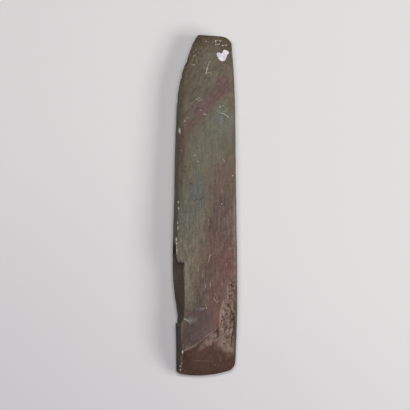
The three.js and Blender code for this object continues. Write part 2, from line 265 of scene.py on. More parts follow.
def face_height(x, y):
    out = outward(x, left_side(y) + left_inset(y), right_side(y) - right_inset(y))
    crown = (np.maximum(out - CROWN_FLAT, 0) / (1 - CROWN_FLAT)) ** 2
    to_butt = BUTT_TAPER * ramp(y, BUTT_TAPER_START, BUTT_TAPER_BLEND)
    to_bit = BIT_TAPER * ramp(-y, BIT_TAPER_START, BIT_TAPER_BLEND)
    rim = corner_fall(y - butt_y(x) + BUTT_RIM, BUTT_RIM)
    return THICKNESS - CROWN_DROP * crown - to_butt - to_bit - rim


def up_the_bevel(x, y):
    """0 at the cutting edge, 1 at the ridge and on the face."""
    edge = edge_y(x)
    return np.clip((y - edge) / (ridge_y(x) - edge), 0, 1)


def top_height(x, y):
    up = up_the_bevel(x, y)
    climb = up + BEVEL_BELLY * up * (1 - up)
    face = face_height(x, np.maximum(y, ridge_y(x)))
    fall = ROUGH_FALL * np.maximum(x - rough_border(y), 0) * np.minimum(4 * up, 1)
    return mix(EDGE_HEIGHT + EDGE_BLUNT, face, climb) - fall


def sole_height(x, y):
    back = np.clip(1 - (y - edge_y(x)) / BACK_BEVEL_RUN, 0, 1)
    to_bit = (EDGE_HEIGHT - EDGE_BLUNT) * back * back
    to_butt = SOLE_TAPER * ramp(y, SOLE_TAPER_START, SOLE_TAPER_BLEND)
    out = outward(x, left_side(y) + FOOT_INSET_LEFT, right_side(y) - FOOT_INSET_RIGHT)
    turn = (np.maximum(out - SOLE_FLAT, 0) / (1 - SOLE_FLAT)) ** 2
    return to_bit + to_butt + FOOT_RISE * turn * (1 - back)


def waist_height(x, y):
    return mix(EDGE_HEIGHT, WAIST_HEIGHT, smooth(y - edge_y(x), 0, WAIST_RUN))


# How many points each stretch of a ring has, from the left waist over the face to the right
# waist and back under the sole
AROUND = [
    ("left_up", 16), ("left_arris", 5), ("face", 98), ("right_arris", 4), ("right_down", 12),
    ("right_under", 9), ("right_foot", 4), ("sole", 34), ("left_foot", 4), ("left_back", 10),
]
RING_STRETCH = np.concatenate([[name] * count for name, count in AROUND])
RING_SHARE = np.concatenate([np.arange(count) / count for _, count in AROUND])
ROUND = len(RING_STRETCH)
RIGHT_WAIST = int(np.argmax(RING_STRETCH == "right_under"))
# The share of the face's points that lie left of the great flake's scar
SCAR_KNOT = 18 / 98

RING_PASSES, CARVE_STEPS = 4, 18


def scar_x(y, z):
    """How far in the great flake's scar lies."""
    away = np.maximum((FLAKE_HINGE_Y - y) / FLAKE_LOW_RUN, 0)
    low = FLAKE_LOW_X + FLAKE_LOW_DEPTH * away**FLAKE_LOW_POWER
    retreat = smooth(y, FLAKE_START_Y + FLAKE_HIGH_RUN, FLAKE_START_Y)
    high = FLAKE_HIGH_X - FLAKE_HIGH_RETREAT * retreat - FLAKE_HIGH_LEAN * smooth(y, -88, -62)
    up = (z - FLAKE_LOW_Z) / (FLAKE_HIGH_Z - FLAKE_LOW_Z)
    hollow = FLAKE_HOLLOW * np.sin(np.clip(up, 0, 1) * np.pi)
    ragged = FLAKE_RAGGED * layered(np.stack([0 * y, y, z / 4], -1), 6, 4, 3)
    feather = FLAKE_FEATHER * smooth(y, FLAKE_START_Y + FLAKE_FEATHER_RUN, FLAKE_START_Y)
    return mix(low, high, np.clip(up, 0, 1.6)) + hollow + ragged - feather * (1 - up)


def section(y):
    """(x, z) of every ring point, each on the cross-section at its own y; y's last axis runs
    round the ring."""
    left, right = left_side(y), right_side(y)

    def corner(x, height):
        return np.stack([x, height(x, y)], -1)

    def rounded(before, at, after, radius):
        def toward(other):
            gap = np.linalg.norm(other - at, axis=-1)
            return at + (other - at) * np.minimum(radius / gap, 0.45)[..., None]

        return toward(before), at, toward(after)

    t = RING_SHARE

    def bow(three):
        a, b, c = three
        s = t[:, None]
        return a * (1 - s) ** 2 + b * 2 * s * (1 - s) + c * s * s

    def side(waist, end, share):
        x = mix(waist[..., 0], end[..., 0], share**SIDE_BULGE)
        return np.stack([x, mix(waist[..., 1], end[..., 1], share)], -1)

    def across(start, end):
        knot = mix(start, end, SCAR_KNOT)
        scar = scar_x(y, top_height(knot, y))
        there = smooth(y, FLAKE_START_Y - 8, FLAKE_START_Y) * smooth(y, -46, -54)
        knot = mix(knot, np.maximum(scar, start + 0.5), there)
        low = mix(start, knot, t / SCAR_KNOT)
        return np.where(t < SCAR_KNOT, low, mix(knot, end, (t - SCAR_KNOT) / (1 - SCAR_KNOT)))

    left_waist, right_waist = corner(left, waist_height), corner(right, waist_height)
    left_top = corner(left + left_inset(y), top_height)
    right_top = corner(right - right_inset(y), top_height)
    left_foot = corner(left + FOOT_INSET_LEFT, sole_height)
    right_foot = corner(right - FOOT_INSET_RIGHT, sole_height)
    arris_left = rounded(left_waist, left_top, right_top, left_softness(y))
    arris_right = rounded(left_top, right_top, right_waist, RIGHT_SOFTNESS)
    foot_right = rounded(right_waist, right_foot, left_foot, FOOT_SOFTNESS)
    foot_left = rounded(right_foot, left_foot, left_waist, FOOT_SOFTNESS)
    stretches = {
        "left_up": side(left_waist, arris_left[0], t),
        "left_arris": bow(arris_left),
        "face": corner(across(arris_left[2][..., 0], arris_right[0][..., 0]), top_height),
        "right_arris": bow(arris_right),
        "right_down": side(right_waist, arris_right[2], 1 - t),
        "right_under": side(right_waist, foot_right[0], t),
        "right_foot": bow(foot_right),
        "sole": corner(mix(foot_right[2][..., 0], foot_left[0][..., 0], t), sole_height),
        "left_foot": bow(foot_left),
        "left_back": side(left_waist, foot_left[2], 1 - t),
    }
    points = np.zeros(y.shape + (2,))
    for name, values in stretches.items():
        at = RING_STRETCH == name
        points[..., at, :] = values[..., at, :]
    return points


def hinge_y(x):
    """The plan of the hinge step that ends the great flake: curving and ragged."""
    ragged = np.stack([x, x * 0, x * 0], -1)
    return hinge_line(x) + 0.3 * grain(ragged, 2.3, 3) + 0.3 * grain(ragged, 1.1, 5)


def ring_y(ring, x):
    """Where a ring runs at this place across: along the cutting edge, the ridge, the hinge step
    or the butt's plan at its own place, and square across between them."""
    hinge = mix(HINGE_RING, hinge_y(x), smooth(x, -8, -18))
    stops = [
        (EDGE_Y, edge_y(x)), (RIDGE_RING, ridge_y(x)), (FAN_END_RING, FAN_END_RING),
        (HINGE_RING, hinge), (HINGE_END_RING, HINGE_END_RING), (BUTT_FAN_RING, BUTT_FAN_RING),
        (BUTT_Y, butt_y(x)),
    ]
    y = np.zeros_like(x)
    for (low, low_line), (high, high_line) in zip(stops, stops[1:]):
        share = (ring - low) / (high - low)
        y = np.where((share >= 0) & (share <= 1), mix(low_line, high_line, share), y)
    return y


def ring_places():
    """The rings' parameters, closer together where the stone has more to show."""

    def spread(start, end, step):
        return np.linspace(start, end, int(round((end - start) / step)) + 1)[:-1]

    lip = 0.2
    return np.concatenate([
        [EDGE_Y, EDGE_Y + 0.25, EDGE_Y + 0.6],
        spread(EDGE_Y + 1, RIDGE_RING, 0.66),
        spread(RIDGE_RING, FAN_END_RING, 0.7),
        spread(FAN_END_RING, HINGE_RING - 3, 0.8),
        spread(HINGE_RING - 3, HINGE_RING - lip, 0.45),
        [HINGE_RING - lip],
        spread(HINGE_RING + lip, HINGE_END_RING, 0.6),
        spread(HINGE_END_RING, BUTT_FAN_RING, 0.86),
        spread(BUTT_FAN_RING, BUTT_Y - BUTT_RIM, 0.74),
        spread(BUTT_Y - BUTT_RIM, BUTT_Y, 0.4),
        [BUTT_Y],
    ])


def base_skin():
    """Every ring's points before the losses, as an array of rings by places round by x, y, z."""
    rings = ring_places()[:, None] + np.zeros(ROUND)
    y = rings
    for _ in range(RING_PASSES):
        y = ring_y(rings, section(y)[..., 0])
    flat = section(y)
    return np.stack([flat[..., 0], y, flat[..., 1]], -1)


# ---- What the stone has lost ----


def great_flake(points):
    """Above zero where stone is left, below where the great flake took it."""
    x, y, z = np.moveaxis(points, -1, 0)
    start = FLAKE_START_Y + 2 * smooth(z, 22, 32)
    return np.maximum.reduce([x - scar_x(y, z), y - hinge_y(x), start - y])


def scoops(points, balls):
    """Above zero outside all of these balls, each a middle and its radii."""
    outside = np.full(points.shape[:-1], np.inf)
    for middle, radii in balls:
        away = np.linalg.norm((points - middle) / radii, axis=-1) - 1
        outside = np.minimum(outside, away * min(radii))
    return outside


def shoulder_scoops():
    """Overlapping flakes struck down the broken left shoulder of the butt."""
    draw = np.random.default_rng(23)
    balls = []
    for y, z in itertools.product(np.arange(106, 168, 4.6), (8, 17, 26, 33)):
        radius = draw.uniform(4.5, 8.5)
        bite = draw.uniform(0.3, 1.3)
        place = y + draw.uniform(-2.5, 2.5)
        high = z + draw.uniform(-2.5, 2.5)
        balls.append(((float(left_side(y)) - radius + bite, place, high), (radius,) * 3))
    return balls


def carve(points, left_over):
    """Draws points that are in lost stone in towards the core, as far as sound stone."""
    y = points[..., 1]
    core = np.stack([(left_side(y) + right_side(y)) / 2, y, waist_height(0 * y, y)], -1)
    lost = left_over(points) < 0
    at, reach = core[lost], (points - core)[lost]
    near, far = np.zeros(len(at)), np.ones(len(at))
    for _ in range(CARVE_STEPS):
        middle = (near + far) / 2
        gone = left_over(at + reach * middle[:, None]) < 0
        far = np.where(gone, middle, far)
        near = np.where(gone, near, middle)
    carved = points.copy()
    carved[lost] = at + reach * near[:, None]
    return carved, lost


def grid_normals(points):
    """Outward unit normals of a grid of rings."""
    around = np.roll(points, -1, axis=1) - np.roll(points, 1, axis=1)
    along = np.gradient(points, axis=0)
    normals = np.cross(around, along)
    length = np.linalg.norm(normals, axis=-1, keepdims=True)
    return normals / np.maximum(length, 1e-9)


def soften(values):
    """Spreads values over their neighbours on the grid."""
    values = (values + np.roll(values, 1, 1) + np.roll(values, -1, 1)) / 3
    padded = np.concatenate([values[:1], values, values[-1:]])
    return (padded[:-2] + padded[1:-1] + padded[2:]) / 3


def path_distance(points, path):
    """How far each point lies, in plan, from a path of corners (x, y)."""
    nearest = np.full(points.shape[:-1], np.inf)
    for (ax, ay), (bx, by) in zip(path, path[1:]):
        run = np.array([bx - ax, by - ay], float)
        offset = points[..., :2] - np.array([ax, ay])
        share = np.clip(offset @ run / (run @ run), 0, 1)
        away = np.linalg.norm(offset - share[..., None] * run, axis=-1)
        nearest = np.minimum(nearest, away)
    return nearest


# ---- The stone's surface: relief, and where each colour and kind of surface lies ----

# Cracks and slits in the rough patch, as corners (x, y)
CRACKS = [
    [(24.5, -79), (28, -80.6), (31.5, -80)],
    [(23.2, -98.6), (25.5, -102.6), (28.1, -109.6), (30.1, -120.1), (29.6, -125.6),
     (26.5, -132.6), (27, -140.6)],
    [(25.9, -103.6), (28.6, -110), (29.6, -120.4), (28.9, -125.8)],
    [(11.9, -124.2), (12.2, -131.6)],
    [(13.2, -123), (13.5, -130.4)],
    [(17.6, -110.8), (18, -112.4)],
    [(19.7, -123.6), (20.1, -125.1)],
]
CRACK_HALF_WIDTH = 1.15

skin, flaked = carve(base_skin(), great_flake)
skin, chipped = carve(skin, lambda at: scoops(at, SMALL_FLAKES) + 0.3 * grain(at, 4, 9))
skin, struck = carve(skin, lambda at: scoops(at, shoulder_scoops()) + 0.2 * grain(at, 3, 8))
skin, deeply = carve(skin, lambda at: scoops(at, [DEEP_CHIP]) + 0.4 * grain(at, 2.4, 7))

BUTT_WALL_SHARES = (0.93, 0.84, 0.74, 0.63, 0.52, 0.4, 0.28, 0.15)
WALL_RINGS = len(BUTT_WALL_SHARES)
FLOOR_GAP = 0.02


def with_butt_wall(values, shrink):
    """Adds rings that close the butt; their values shrink to the middle, or stay the rim's."""
    rim = values[-1]
    middle = rim.mean(axis=0)
    walls = [mix(middle, rim, share if shrink else 1) for share in BUTT_WALL_SHARES]
    return np.concatenate([values, np.array(walls)])


skin = with_butt_wall(skin, True)
flaked, chipped, struck, deeply = (
    with_butt_wall(mask.astype(float), False) for mask in (flaked, chipped, struck, deeply)
)
skin[-WALL_RINGS:, :, 1] = butt_y(skin[-WALL_RINGS:, :, 0])

normals = grid_normals(skin)
lean = soften(normals[..., 2])
x, y, z = np.moveaxis(skin, -1, 0)
up = up_the_bevel(x, y)
on_top = smooth(lean, 0.3, 0.6) * (1 - flaked)
on_face = on_top * smooth(up, 0.97, 1)
on_bevel = on_top * smooth(up, 1, 0.97)
on_side = 1 - smooth(np.abs(lean), 0.35, 0.75)
on_sole = smooth(-lean, 0.4, 0.7)
on_wall = np.zeros_like(x)
on_wall[-WALL_RINGS - 1:] = 1


def clots(size, seed, low, high, layers=1):
    """Clots of grain on the stone's skin, 0 to 1."""
    return smooth(layered(skin, size, seed, layers), low, high)


past_border = x - rough_border(y) + 1.3 * layered(skin, 7, 12, 3)
rough = smooth(past_border, -0.2, 0.9) * on_top * smooth(up, 0.3, 0.75)
rough *= smooth(y, -151, -140) * smooth(y, -66, -74)
strays = [layered(skin, 2.4, seed, 3) for seed in (31, 32)]
wander = skin + 1.3 * np.stack([*strays, 0 * x], -1)
crack = np.max([smooth(path_distance(wander, path), CRACK_HALF_WIDTH, 0.3) for path in CRACKS], 0)
crack *= on_top * (0.75 + 0.25 * clots((4, 5, 4), 33, -0.3, 0.2))
nick_places = mix(skin, wander, 0.5)
nicked = np.max([
    smooth(path_distance(nick_places, path), width, 0.3 * width) for path, width in NICKS
], 0)
nicked *= smooth(z, 26, 29) * clots((1.6, 2.1, 1.6), 34, -0.45, 0)
pits = np.maximum(-layered(skin, 5.5, 14, 4) - 0.12, 0)

height = on_face * (0.1 * grain(skin, (24, 70, 24), 1) + 0.03 * grain(skin, (4, 26, 4), 2))
height += on_side * (0.3 * layered(skin, (11, 16, 9), 20, 4))
height += on_sole * (0.25 * grain(skin, (15, 40, 15), 21) + 0.12 * layered(skin, 6, 22, 3))
height += on_bevel * (0.12 * grain(skin, (16, 8, 16), 24) + 0.05 * grain(skin, (20, 3.5, 20), 25))
height += flaked * (0.3 * layered(skin, (9, 12, 7), 26, 4))
height -= rough * (0.4 + 3.4 * pits - 0.6 * layered(skin, (6, 8, 6), 15, 4))
height -= crack * (0.4 + 0.7 * rough) + 0.35 * nicked
height += struck * 0.25 * layered(skin, 4, 27, 3)
height -= on_wall * (0.6 + 0.7 * layered(skin, (8, 8, 6), 28, 4))
nibbled = smooth(up, 0.035, 0) * smooth(lean, -0.9, 0.2)
height -= nibbled * 0.9 * np.maximum(layered(skin * [1, 0, 0], 3.4, 29, 3) - 0.05, 0)
skin = skin + normals * height[..., None]
skin[..., 2] = np.maximum(skin[..., 2], FLOOR_GAP)

x, y, z = np.moveaxis(skin, -1, 0)
deep = x - 0.45 * (THICKNESS - z)
warped_x = deep + 2.2 * grain(skin, (14, 30, 14), 41) + 1.1 * grain(skin, (4, 16, 6), 42)
warped_y = y + 5 * grain(skin, (16, 24, 16), 43) + 2 * grain(skin, (6, 8, 6), 44)


def patch(middle, radii, turn=0, core=0.35):
    """A soft blot of colour: its middle and radii in plan, and how far it is turned."""
    turn = math.radians(turn)
    dx, dy = warped_x - middle[0], warped_y - middle[1]
    along = dx * math.cos(turn) + dy * math.sin(turn)
    over = dy * math.cos(turn) - dx * math.sin(turn)
    return smooth(np.hypot(along / radii[0], over / radii[1]), 1.25, core)


def together(*parts):
    """Masks laid over each other, never past 1."""
    return 1 - np.prod([1 - part for part in parts], 0)


def blots(*rows):
    """Soft blots together: strength, middle x and y, radii across and along, turn."""
    return together(*(row[0] * patch(row[1:3], row[3:5], *row[5:]) for row in rows))


scarred = flaked * smooth(lean, 0.97, 0.8)
masks = {
    "sage": blots(
        (1, 18, 84, 17, 24, 12), (0.75, 4, 60, 24, 34), (0.5, -8, 20, 22, 46),
        (0.6, -17, -8, 12, 40),
    ) * smooth(y, -98, -84),
    "slate": blots(
        (0.75, -7, 10, 11, 22), (0.35, -14, -20, 10, 24), (0.5, -4, -112, 12, 20, -30),
        (0.5, 16, 88, 5, 8),
    ),
    "pale": blots(
        (0.85, -20, -42, 12, 24), (0.8, -17, -76, 5, 36, 4), (0.4, 3, 150, 9, 14),
        (0.5, 5, 121, 6, 10, -20),
    ),
    "tan": blots(
        (0.8, -8, -48, 7, 26, 4), (0.5, -11, -78, 5, 22), (0.35, 22, 132, 10, 18),
        (0.3, 8, 30, 9, 24),
    ),
    "brown": blots(
        (0.5, -18, 128, 10, 22, -20), (0.4, -4, 158, 14, 8), (0.3, 10, 20, 14, 24),
        (0.2, -22, 30, 8, 20), (0.4, 29, 66, 4, 16), (0.55, 4, -20, 5, 24),
    ),
    "maroon": blots(
        (1, 15.5, 120, 15, 9.5, 62), (0.9, 6, 104.5, 13, 8, 50), (0.95, -4, 95, 13, 8.5, 52),
        (0.75, -17, 78, 13, 8, 55), (0.5, -24, 62, 7, 14),
    ) * smooth(deep, 28, 23),
    "red": blots(
        (1, 22, -58, 15, 32), (0.55, 17, -20, 15, 30, -8), (0.7, 5, -52, 9, 32, -10),
        (0.3, 20, 18, 12, 34), (0.95, 8, -98, 11, 28, -12), (0.7, 16, -84, 12, 20),
        (0.4, 9, 19, 7, 8), (0.9, 13, -112, 9, 18, -20), (0.55, -22, -138, 7, 9),
        (0.5, 28, -20, 5, 16), (0.25, 22, 30, 9, 26),
    ),
    "plum": blots(
        (0.95, -8, -112, 15, 20, -20), (0.6, -4, -84, 7, 22, -8), (0.85, -16, -131, 15, 14),
        (0.5, 6, -64, 7, 18), (0.4, 14, -4, 9, 20), (0.7, 2, -124, 13, 9, 30),
        (0.35, 14, -22, 16, 24),
    ),
    "lilac": blots((0.6, 0, -124, 12, 9, 32)) * on_face,
    "dark": together(0.9 * smooth(warped_y, 150, 176), blots(
        (0.45, -14, 150, 7, 14), (0.7, 18, 157, 13, 15), (0.35, 0, 160, 16, 10),
        (0.3, -24, 118, 7, 20),
    )),
    "bevel": on_bevel * smooth(up, 1.0, 0.93),
    "umber": on_bevel * together(0.08 * smooth(up, 0.4, 0.0), blots((0.5, 24, -160, 12, 10))),
    "mottle": together(
        blots((1, 11, -131, 14, 8, 22, 0.2)) * clots((4, 3, 4), 80, -0.45, 0.15, 3),
        blots((0.9, 15, -140, 9, 10.5, -25, 0.3)) * clots(4, 81, -0.6, 0.1, 3),
        blots((0.85, 2, -135.5, 13, 4.2, 33)) * clots(4, 82, -0.5, 0.2, 3),
    ) * on_top * smooth(ridge_y(x) - y, -2, 1),
    "rough": rough,
    # Pale along the rough patch's border and the face's broken edge, a painted highlight where
    # these slopes face the light, and pale clots over the patch
    "rim": together(
        0.7 * rough * smooth(np.abs(past_border - 1.7), 2.2, 0.6) * smooth(y, -134, -126)
        * clots((3, 7, 3), 83, -0.4, 0.1, 3),
        0.7 * rough * clots((2.6, 7, 3), 84, 0.12, 0.42, 3),
        0.75 * on_top * smooth(path_distance(mix(skin, wander, 0.4), BROKEN_EDGE), 1, 0.3),
    ),
    "side": together(
        on_side * (1 - 0.6 * smooth(x, 20, 24) * smooth(z, 20, 28)), on_sole, on_wall,
    ),
    "scar": scarred,
    "rust": together(
        scarred * together(smooth(y, -66, -108), 0.5 * smooth(y, -68, -60)),
        0.9 * smooth(x, -20, -24) * smooth(lean, 0.85, 0.6) * smooth(y, -104, -122),
        0.7 * on_side * smooth(x, 20, 24) * smooth(y, -10, -70) * smooth(z, 31, 24),
    ),
    # Painted shade darkening the lower left flank towards the bit
    "painted_flank_shade": (
        0.8 * smooth(x, -26, -28) * smooth(lean, 0.8, 0.5)
        * smooth(y, -117, -123) * smooth(y, -168, -160)
    ),
    "struck": together(struck, chipped),
    "gold": blots((0.55, -19, -72, 2.8, 20, 0, 0.2)) * on_top,
    "crack": crack,
    # Painted shade: near black in the deep chip on the left flank and in the recess under the hinge
    # step
    "painted_hollow_shade": together(
        0.85 * deeply * clots((3, 4, 3), 86, -0.5, -0.1),
        0.9 * flaked * smooth(hinge_y(x) - y, 3.6, 1.6) * smooth(z, 15, 21),
        0.95 * smooth(np.abs(y + 44.5), 7.5, 4) * smooth(z, 13, 18) * smooth(x, -28.2, -29),
    ),
}


def tone(red, green, blue):
    """A colour given in 0 to 255 as the eye reads it, for a shader."""

    def linear(value):
        value /= 255
        return value / 12.92 if value <= 0.04045 else ((value + 0.055) / 1.055) ** 2.4

    return tuple(linear(value) for value in (red, green, blue)) + (1,)


# Colours of the stone's zones, as the eye reads them, each laid over the ones before it
OLIVE, OLIVE_CLOUD, VEIN = (104, 96, 82), (100, 94, 82), (94, 82, 68)
ZONE_TONES = {
    "dark": (82, 71, 54), "sage": (106, 104, 92), "slate": (94, 94, 91), "pale": (111, 107, 94),
    "tan": (109, 97, 82), "brown": (99, 87, 73), "maroon": (101, 81, 78), "red": (104, 78, 72),
    "plum": (87, 72, 70), "lilac": (101, 85, 83), "bevel": (87, 67, 61), "umber": (68, 51, 44),
    # The palest tone on the next line is partly painted highlight along the rough patch's border
    "rough": (110, 93, 84), "mottle": (132, 112, 105), "rim": (145, 125, 116),
    # The darkest tone on the next line is painted shade on the lower left flank
    "side": (86, 81, 70), "scar": (86, 80, 69), "rust": (74, 63, 54), "painted_flank_shade": (58, 47, 42),
    "struck": (88, 80, 68), "gold": (134, 124, 103),
}
# The zones whose masks the shader reads too
KEPT = ("rough", "side", "scar", "struck")

arris_x = left_side(y) + left_inset(y)
ridge_line = smooth(np.abs(y - ridge_y(x)), 0.9, 0.15) * smooth(x, 14, 8) * on_top
scar_line = smooth(np.abs(x - scar_x(y, z)), 0.9, 0.1) * on_top
scar_line *= smooth(y, FLAKE_START_Y - 1, FLAKE_START_Y + 2) * smooth(y, -57, -60)
scar_line *= clots((4, 6, 4), 52, -0.2, 0.3)
low_arris = smooth(np.abs(x - arris_x), 1.3, 0.3) * smooth(y, FLAKE_START_Y, -126) * on_top
right_arris = smooth(np.abs(x - right_side(y) + right_inset(y)), 1.7, 0.4) * smooth(y, 30, -10)
right_arris *= smooth(z, 25, 29) * (1 - rough) * smooth(y, -84, -74)
beads = clots((3, 3.2, 3), 51, 0.18, 0.4)
# Partly wear and partly painted highlight: pale along the ridge, the scar's edge and the arrises
masks["wear_and_edge_highlight"] = together(0.72 * ridge_line, 0.4 * scar_line, 0.45 * low_arris, 0.5 * right_arris)
masks["nick"] = together(nicked, beads * low_arris * smooth(y, -128, -138))

# The row of dark pits across the middle of the face: x, y, width
PITS = [
    (-22.5, 3.9, 1.2), (-16, 4.5, 1.4), (-10.6, 4.9, 1.5), (-7.9, 5.7, 1.6), (-5, 5.6, 1.6),
    (-1.9, 6.9, 1.8), (-20.4, 33, 1.4), (-19.6, 38.4, 1.6), (-22, 21.4, 1.3),
    (-14.2, 21.6, 1.5),
]

# Broad places where the stone is a little lighter or darker: by how much, x, y, radii
DRIFTS = [
    (0.09, -9, 101, 8, 9), (0.09, 7, 129, 6, 7), (0.09, -22, 97, 7, 8), (0.09, -9, 1, 6, 8),
    (0.1, 18, -112, 12, 14), (-0.07, 5, 150, 13, 9), (-0.08, 20, 62, 11, 24),
    (-0.1, 24, 12, 8, 16), (-0.07, 23, 89, 6, 8), (-0.1, -26, 1, 4, 12), (-0.08, -9, -87, 6, 8),
    (-0.12, -25, -152, 6, 14), (-0.1, -8, -169, 20, 6), (-0.12, -27, -76, 7, 13),
]

# What a level face adds to its own colour in sheen, and how strongly it is lit
SHEEN, LIGHT = 0.03, 0.88

# How far the stone's bands lean down to the left over the butt half, in degrees
BAND_LEAN = 39.7


def drawn_out(turn, across, along, seed, layers=3):
    """Grain drawn out lengthwise, turned this many degrees from the length of the stone."""
    turn = math.radians(turn)
    over = x * math.cos(turn) - y * math.sin(turn)
    ahead = x * math.sin(turn) + y * math.cos(turn)
    place = np.stack([over / across, ahead / along, z / (2 * across)], -1)
    return layered(place, 1, seed, layers)


def laid(under, colour, share):
    """A colour laid over the stone's own by a share."""
    return mix(under, np.array(tone(*colour)), share[..., None])


# Over the butt half and beside the ridge the stone is banded down to the left, elsewhere lengthwise
banded = together(smooth(y, 45, 90), smooth(y, -92, -108) * smooth(x, 10, 0)) * on_top
jitter = mix(0.9, 0.6, smooth(y, 30, -10)) * grain(skin, (1.5, 22, 8), 45)
jitter += 0.45 * layered(skin, 5, 46, 3)
cloud = clots((13, 22, 13), 47, -0.4, 0.4)
vein = smooth(drawn_out(BAND_LEAN, 4.5, 26, 48), -0.3, 0.35) * smooth(y, 25, 75)
tint = laid(laid(np.array(tone(*OLIVE)), OLIVE_CLOUD, cloud), VEIN, 0.6 * vein)
for name, colour in ZONE_TONES.items():
    share = masks[name] if name in KEPT else masks.pop(name)
    tint = laid(tint, colour, np.clip(share + 2.4 * share * (1 - share) * jitter, 0, 1))

# Streaks and mottling in the value
streaks = mix(drawn_out(0, 1.3, 12, 71), drawn_out(BAND_LEAN, 1.4, 11, 72), banded)
lively = mix(1, 0.62, smooth(np.abs(y - 48), 50, 30))
lively *= mix(1, 0.58, smooth(y, -95, -110))
level = 1 + mix(0.48, 0.4, smooth(y, 50, 80)) * lively * streaks * (1 - rough) * on_top
level += 0.2 * lively * layered(skin, (5, 7, 5), 73, 3) + 0.2 * lively * grain(skin, 1.7, 74)
level += rough * 0.7 * layered(skin, (2.4, 5, 3), 75, 4)
level += sum(row[0] * patch(row[1:3], row[3:]) for row in DRIFTS)
tint = tint * level[..., None]

# Pale broken hairs, flecks on the shoulder, and the rough patch's pits and high spots
hairs = mix(drawn_out(0, 0.8, 6, 76, 2), drawn_out(34, 0.9, 6, 77, 2), banded)
hair = smooth(hairs, 0.3, 0.62) * on_face * (1 - rough) * mix(0.2, 0.5, smooth(y, 10, -20))
hair *= clots((9, 26, 9), 85, -0.15, 0.35, 2)
flecks = clots((1.6, 1.8, 1.6), 78, 0.34, 0.6) * together(
    blots((1, -14, 150, 6, 15)), 0.4 * smooth(y, 84, 96) * smooth(np.abs(x - arris_x), 1.6, 0.4),
)
pitted = rough * smooth(-layered(skin, (2.2, 3.4, 2.6), 79, 3), 0.12, 0.36)
pocked = rough * clots((1.8, 4.2, 2.4), 90, 0.12, 0.45, 2)
crumbs = rough * clots((1.6, 3, 1.8), 91, 0.2, 0.5)
speckled = patch((2, 142), (30, 26), 0, 0.6) * on_top
specks = clots((1.5, 2.2, 1.5), 87, 0.3, 0.55) * speckled
spots = clots((2, 3.2, 2), 88, 0.25, 0.5) * speckled
for colour, share in [
    ((150, 138, 116), hair), ((158, 150, 134), 0.8 * flecks), ((62, 49, 43), 0.6 * pitted),
    ((58, 45, 39), 0.5 * pocked), ((158, 138, 126), 0.35 * crumbs),
    ((138, 128, 108), 0.3 * specks), ((66, 55, 42), 0.25 * spots),
]:
    tint = laid(tint, colour, share)
for pit_x, pit_y, width in PITS:
    away = np.hypot((x - pit_x) / width, (y - pit_y) / (0.8 * width))
    pit = smooth(away + 0.6 * grain(skin, 1.7, 89), 1.2, 0.4) * on_face
    tint = laid(tint, (64, 61, 58), 0.6 * pit)
tint = np.clip((tint - SHEEN) / LIGHT, 0.005, 1)
masks["streaky"] = smooth(y, 70, -20) * mix(0.35, 1.0, smooth(y, -118, -92)) * on_top
masks["top"] = on_top

# ---- Meshes ----


def new_object(name, data):
    made = bpy.data.objects.new(name, data)
    bpy.context.scene.collection.objects.link(made)
    return made


def new_mesh(name, vertices, faces, material):
    mesh = bpy.data.meshes.new(name)
    mesh.from_pydata(vertices, [], faces)
    mesh.materials.append(material)
    return new_object(name, mesh)


def make_piece(name, vertices, faces, material, slot, node=None):
    """A smooth mesh piece that rides on the root body, from vertices in millimetres."""
    piece = new_mesh(name, (np.asarray(vertices, float) * MM).tolist(), faces, material)
    piece.data.validate()
    piece.data.polygons.foreach_set("use_smooth", [True] * len(piece.data.polygons))
    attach(piece, "root")
    if node:
        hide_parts(node)
    return piece


def stone_faces(rings):
    """Quads between the rings, a strip that closes the cutting edge, and a fan at the butt."""
    low = np.arange((rings - 1) * ROUND).reshape(-1, ROUND)
    low_after = np.roll(low, -1, 1)
    quads = np.stack([low, low_after, low_after + ROUND, low + ROUND], -1)
    faces = quads.reshape(-1, 4).tolist()
    upper = list(range(RIGHT_WAIST + 1))
    lower = [0, *range(ROUND - 1, RIGHT_WAIST - 1, -1)]
    edge_x = skin[0, :, 0]
    i = j = 0
    while i < len(upper) - 1 or j < len(lower) - 1:
        climb = j == len(lower) - 1 or (
            i < len(upper) - 1 and edge_x[upper[i + 1]] <= edge_x[lower[j + 1]]
        )
        corner = upper[i + 1] if climb else lower[j + 1]
        if len({upper[i], lower[j], corner}) == 3:
            faces.append((upper[i], lower[j], corner))
        i, j = (i + 1, j) if climb else (i, j + 1)
    last, middle = (rings - 1) * ROUND, rings * ROUND
    return faces + [(last + i, last + (i + 1) % ROUND, middle) for i in range(ROUND)]


# ---- Materials ----


